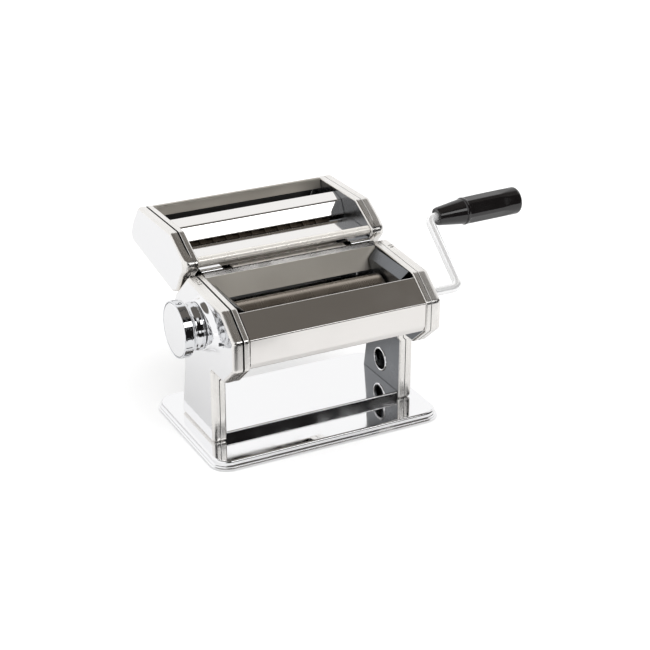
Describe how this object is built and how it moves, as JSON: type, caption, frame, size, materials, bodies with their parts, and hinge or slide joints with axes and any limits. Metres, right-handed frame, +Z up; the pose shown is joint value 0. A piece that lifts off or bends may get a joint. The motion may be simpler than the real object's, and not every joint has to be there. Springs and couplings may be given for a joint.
{
  "type": "pasta roller machine",
  "caption": "Hand-cranked pasta roller on a flat base: a roller pair with a thickness knob at one side, a crank at the other and a lift-off cutter head behind.",
  "frame": {"origin": "centre of the base plate's footprint, on the table", "axes": "+X along the rollers towards the crank, +Y towards the cutter head at the back, +Z up"},
  "size_m": [0.4027, 0.2309, 0.177],
  "materials": {
    "chromed_steel": "stamped sheet steel, chrome plated and buffed bright",
    "polished_steel": "cold-rolled sheet, chrome plated, faint grain",
    "brushed_steel": "plated sheet with a fine brushed grain",
    "roller_steel": "turned and ground, satin",
    "turned_steel": "bright turned, nickel plated",
    "gear_steel": "sintered steel, oiled",
    "sintered_bronze": "oil-filled sintered bronze",
    "chromed_zinc": "die-cast zinc, mirror chrome",
    "spring_steel": "oil-tempered wire",
    "black_plastic": "moulded black plastic, glossy",
    "black_rubber": "moulded rubber, matt"
  },
  "bodies": {
    "machine": {"base_plate": "chromed_steel", "leg_screw_fl": "turned_steel", "leg_screw_fr": "turned_steel", "leg_screw_bl": "turned_steel", "leg_screw_br": "turned_steel", "foot_fl": "black_rubber", "foot_fr": "black_rubber", "foot_bl": "black_rubber", "foot_br": "black_rubber", "crosspiece": "chromed_steel", "frame_right": "chromed_steel", "frame_left": "chromed_steel", "cover_right": "chromed_steel", "cover_left": "chromed_steel", "front_panel": "polished_steel", "hopper_guide": "brushed_steel", "back_panel": "polished_steel", "cheek_right": "brushed_steel", "cheek_left": "brushed_steel", "tie_rod_front": "turned_steel", "tie_rod_rear": "turned_steel", "scraper_front": "brushed_steel", "scraper_rear": "brushed_steel", "roller_bush_right": "sintered_bronze", "roller_bush_left": "sintered_bronze", "shaft_bush": "sintered_bronze"},
    "regulator": {"eccentric_shaft": "turned_steel", "knob_screw": "turned_steel", "knob_spring": "spring_steel"},
    "knob_body": {"knob": "chromed_zinc", "knob_cap": "chromed_zinc"},
    "carriage": {"bearing_block_right": "sintered_bronze", "bearing_block_left": "sintered_bronze"},
    "front_roll": {"front_roller": "roller_steel", "front_gear": "gear_steel"},
    "rear_roll": {"rear_roller": "roller_steel", "rear_gear": "gear_steel"},
    "crank": {"crank_rod": "chromed_steel", "grip_rivet": "turned_steel"},
    "grip": {"crank_grip": "black_plastic"},
    "cutter_head": {"cutter_frame_right": "chromed_steel", "cutter_frame_left": "chromed_steel", "cutter_cap_right": "chromed_steel", "cutter_cap_left": "chromed_steel", "cutter_rear_cover": "brushed_steel", "cutter_divider": "polished_steel", "cutter_front_sheet": "polished_steel", "cutter_front_tube": "chromed_steel", "comb_wide_front": "brushed_steel", "comb_wide_rear": "brushed_steel", "comb_fine_front": "brushed_steel", "comb_fine_rear": "brushed_steel"},
    "wide_front": {"wide_cutter_front": "turned_steel", "wide_gear_front": "gear_steel"},
    "wide_rear": {"wide_cutter_rear": "turned_steel", "wide_gear_rear": "gear_steel"},
    "fine_front": {"fine_cutter_front": "turned_steel", "fine_gear_front": "gear_steel"},
    "fine_rear": {"fine_cutter_rear": "turned_steel", "fine_gear_rear": "gear_steel"}
  },
  "joints": [
    {"name": "knob_turn", "type": "hinge", "parent": "machine", "child": "regulator", "pos_m": [0, -0.02065, 0.11895], "axis": [1, 0, 0], "range_deg": [0, 180]},
    {"name": "knob_pull", "type": "slide", "parent": "regulator", "child": "knob_body", "axis": [-1, 0, 0], "range_m": [0, 0.0042], "stiffness_N_per_m": 800, "springref_m": -0.004, "deforming": ["knob_spring"]},
    {"name": "roller_gap", "type": "slide", "parent": "machine", "child": "carriage", "axis": [0, -0.565, 0.8251], "range_m": [0, 0.0023]},
    {"name": "drive_spin", "type": "hinge", "parent": "machine", "child": "rear_roll", "pos_m": [0, -0.00398, 0.09461], "axis": [1, 0, 0], "continuous": true},
    {"name": "front_roller_spin", "type": "hinge", "parent": "carriage", "child": "front_roll", "pos_m": [0, -0.02, 0.118], "axis": [1, 0, 0], "continuous": true},
    {"name": "crank_pull", "type": "slide", "parent": "rear_roll", "child": "crank", "axis": [1, 0, 0], "range_m": [0, 0.03]},
    {"name": "grip_spin", "type": "hinge", "parent": "crank", "child": "grip", "pos_m": [0.1715, 0.06202, 0.13961], "axis": [0.9998, 0, 0.0209], "continuous": true},
    {"name": "cutter_lift", "type": "slide", "parent": "machine", "child": "cutter_head", "axis": [0, 0, 1], "range_m": [0, 0.03]},
    {"name": "wide_front_spin", "type": "hinge", "parent": "cutter_head", "child": "wide_front", "pos_m": [0, 0.0585, 0.1425], "axis": [1, 0, 0], "continuous": true},
    {"name": "wide_rear_spin", "type": "hinge", "parent": "cutter_head", "child": "wide_rear", "pos_m": [0, 0.07701, 0.13923], "axis": [1, 0, 0], "continuous": true},
    {"name": "fine_rear_spin", "type": "hinge", "parent": "cutter_head", "child": "fine_rear", "pos_m": [0, 0.11651, 0.14474], "axis": [1, 0, 0], "continuous": true},
    {"name": "fine_front_spin", "type": "hinge", "parent": "cutter_head", "child": "fine_front", "pos_m": [0, 0.098, 0.148], "axis": [1, 0, 0], "continuous": true}
  ],
  "couplings": [
    {"joint": "knob_turn", "follows": "roller_gap", "rad_per_m": 1365.9},
    {"joint": "front_roller_spin", "follows": "drive_spin", "ratio": -1},
    {"joint": "wide_rear_spin", "follows": "wide_front_spin", "ratio": -1},
    {"joint": "fine_front_spin", "follows": "fine_rear_spin", "ratio": -1}
  ]
}
